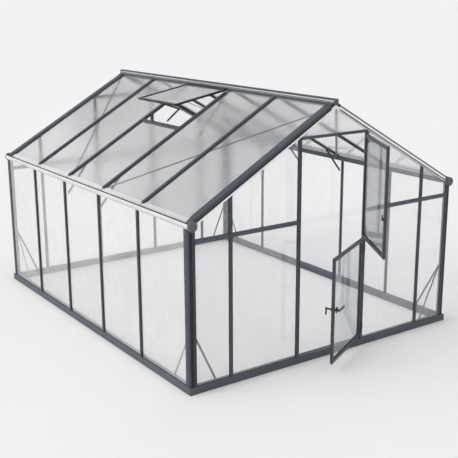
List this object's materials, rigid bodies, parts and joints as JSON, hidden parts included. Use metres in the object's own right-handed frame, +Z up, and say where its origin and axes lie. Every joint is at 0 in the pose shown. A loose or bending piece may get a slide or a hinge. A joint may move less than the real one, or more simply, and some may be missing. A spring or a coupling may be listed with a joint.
{
  "type": "glass greenhouse",
  "caption": "Gable-roofed glass greenhouse: dark aluminium frame on a base rail, clear walls, frosted roof with an open vent, and a stable door in the gable.",
  "frame": {"origin": "underside of the front base rail, in the middle of the doorway", "axes": "+Z up, +Y from the door gable into the house along the ridge, +X to the right seen from in front of the door"},
  "size_m": [2.96, 4.3882, 2.278],
  "materials": {
    "base_coating": "satin anthracite powder coat",
    "frame_coating": "satin anthracite powder coat",
    "leaf_coating": "satin anthracite powder coat",
    "pale_profile": "matt pale grey",
    "channel_aluminium": "matt mid grey",
    "brace_steel": "dark grey coated steel",
    "clear_glass": "clear",
    "leaf_glass": "clear",
    "frosted_glass": "frosted",
    "handle_metal": "dark satin"
  },
  "bodies": {
    "house": {"base_front": "base_coating", "base_back": "base_coating", "base_left": "base_coating", "base_right": "base_coating", "corner_posts": "frame_coating", "left_wall_bars": "frame_coating", "right_wall_bars": "frame_coating", "front_gable_bars": "frame_coating", "door_jambs": "frame_coating", "back_gable_bars": "frame_coating", "front_gable_rails": "frame_coating", "back_gable_rails": "frame_coating", "door_head_rail": "frame_coating", "back_head_rail": "frame_coating", "eaves_beam_left": "frame_coating", "eaves_beam_right": "frame_coating", "gutter_lips": "frame_coating", "gutter_end_caps": "frame_coating", "front_rafters": "frame_coating", "back_rafters": "frame_coating", "left_roof_caps": "frame_coating", "right_roof_caps": "frame_coating", "left_roof_ribs": "frame_coating", "right_roof_ribs": "frame_coating", "ridge_cap": "frame_coating", "ridge_beam": "frame_coating", "ridge_end_caps": "frame_coating", "vent_cross_rail": "frame_coating", "vent_sash_frame": "frame_coating", "gutter_left": "pale_profile", "gutter_right": "pale_profile", "verge_strips": "pale_profile", "ridge_strips": "pale_profile", "eaves_strips": "pale_profile", "eaves_channel_left": "channel_aluminium", "eaves_channel_right": "channel_aluminium", "corner_braces": "brace_steel", "knee_braces": "brace_steel", "wind_braces": "brace_steel", "vent_opener": "brace_steel", "left_wall_glass": "clear_glass", "right_wall_glass": "clear_glass", "front_gable_glass": "clear_glass", "back_gable_glass": "clear_glass", "apex_panes": "frosted_glass", "left_roof_panes": "frosted_glass", "right_roof_panes": "frosted_glass", "vent_sash_pane": "frosted_glass"},
    "lower_leaf": {"lower_leaf_frame": "leaf_coating", "lower_leaf_glass": "leaf_glass", "lower_leaf_handle": "handle_metal"},
    "upper_leaf": {"upper_leaf_frame": "leaf_coating", "upper_leaf_glass": "leaf_glass", "upper_leaf_latch": "handle_metal"}
  },
  "joints": [
    {"name": "lower_leaf_hinge", "type": "hinge", "parent": "house", "child": "lower_leaf", "pos_m": [0.362, -0.0405, 0.55], "axis": [0, 0, 1], "range_deg": [-28.2, 81.8]},
    {"name": "upper_leaf_hinge", "type": "hinge", "parent": "house", "child": "upper_leaf", "pos_m": [0.362, -0.0405, 1.49], "axis": [0, 0, 1], "range_deg": [-61.1, 48.9]}
  ]
}
